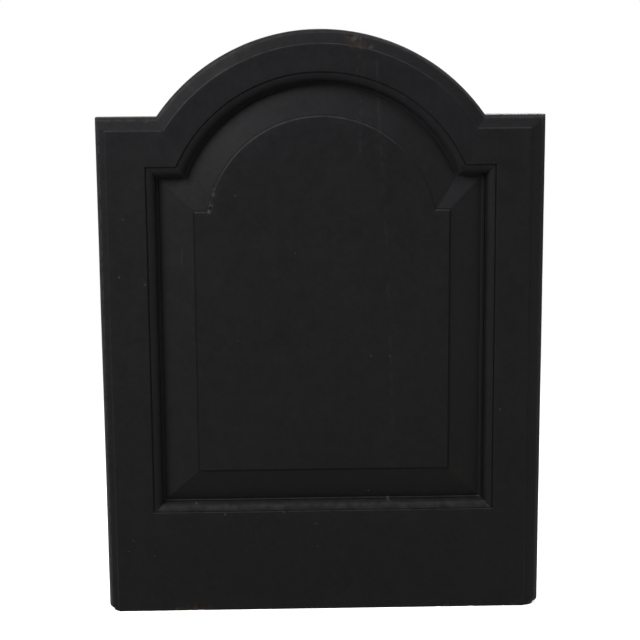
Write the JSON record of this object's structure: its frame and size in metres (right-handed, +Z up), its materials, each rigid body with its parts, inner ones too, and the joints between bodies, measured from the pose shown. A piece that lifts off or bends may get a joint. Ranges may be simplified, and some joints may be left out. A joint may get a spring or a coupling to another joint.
{
  "type": "fireback",
  "caption": "Arched cast-iron fireback plate with a raised and fielded panel, standing on the hearth on its flat bottom edge and steadied by bolted back stays.",
  "frame": {"origin": "middle of the casting's flat bottom face, on the hearth", "axes": "+Z up, -Y out of the panelled front face, +Y towards the chimney wall, +X to the right of someone facing the front"},
  "size_m": [0.6, 0.152, 0.7999],
  "materials": {
    "blackened_iron": "satin black stove finish over a fine sand-cast skin, with small rust chips",
    "stay_iron": "matt black heat-resisting paint on hot-rolled flat bar",
    "fastener_steel": "dulled plain steel"
  },
  "bodies": {
    "root": {"fireback_casting": "blackened_iron", "left_stay": "stay_iron", "right_stay": "stay_iron", "stay_bolts": "fastener_steel", "stay_washers": "fastener_steel"}
  },
  "joints": []
}
